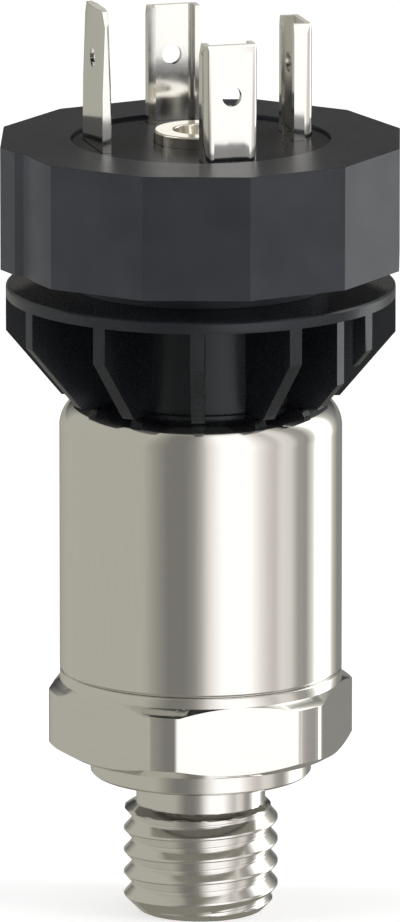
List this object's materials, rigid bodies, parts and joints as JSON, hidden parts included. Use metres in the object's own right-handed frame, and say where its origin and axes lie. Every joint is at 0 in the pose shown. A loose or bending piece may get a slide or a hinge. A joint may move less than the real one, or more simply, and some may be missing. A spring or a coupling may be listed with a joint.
{
  "type": "pressure transmitter",
  "caption": "Screw-in pressure transmitter: male threaded stud, hexagon, steel can, ribbed black collar and a twelve-sided plug base with blade contacts.",
  "frame": {"origin": "on the pressure bore's axis, in the plane of the stud's sealing face", "axes": "+Z along the transmitter's axis towards the contacts; the earth blade stands towards -X, the single third contact towards +X"},
  "size_m": [0.0348, 0.0348, 0.0787],
  "materials": {
    "stainless_bar": "turned, fine",
    "stainless_tube": "polished, fine brushed",
    "seal_rubber": "moulded",
    "ceramic": "fired, ground",
    "ring_rubber": "moulded",
    "holder_plastic": "moulded",
    "spring_steel": "phosphated",
    "board_laminate": "solder mask",
    "contact_plating": "tin plated",
    "chip_body": "moulded",
    "capacitor_ceramic": "fired",
    "collar_plastic": "moulded, semi-gloss",
    "head_plastic": "fine spark-eroded grain",
    "carrier_plastic": "moulded",
    "insert_plating": "nickel plated",
    "wire_sleeve": "extruded sleeve"
  },
  "bodies": {
    "root": {"process_fitting": "stainless_bar", "housing_can": "stainless_tube", "port_seal": "seal_rubber", "sensor_cell": "ceramic", "cell_o_ring": "ring_rubber", "clamp_ring": "holder_plastic", "retaining_ring": "spring_steel", "board_holder": "holder_plastic", "circuit_board": "board_laminate", "cell_pins": "contact_plating", "signal_chip": "chip_body", "board_capacitors": "capacitor_ceramic", "ribbed_collar": "collar_plastic", "can_o_ring": "ring_rubber", "connector_head": "head_plastic", "head_o_ring": "ring_rubber", "contact_carrier": "carrier_plastic", "screw_insert": "insert_plating", "earth_contact": "contact_plating", "contact_1": "contact_plating", "contact_2": "contact_plating", "contact_3": "contact_plating", "lead_wire_1": "wire_sleeve", "lead_wire_2": "wire_sleeve", "lead_wire_3": "wire_sleeve", "lead_wire_earth": "wire_sleeve"}
  },
  "joints": []
}
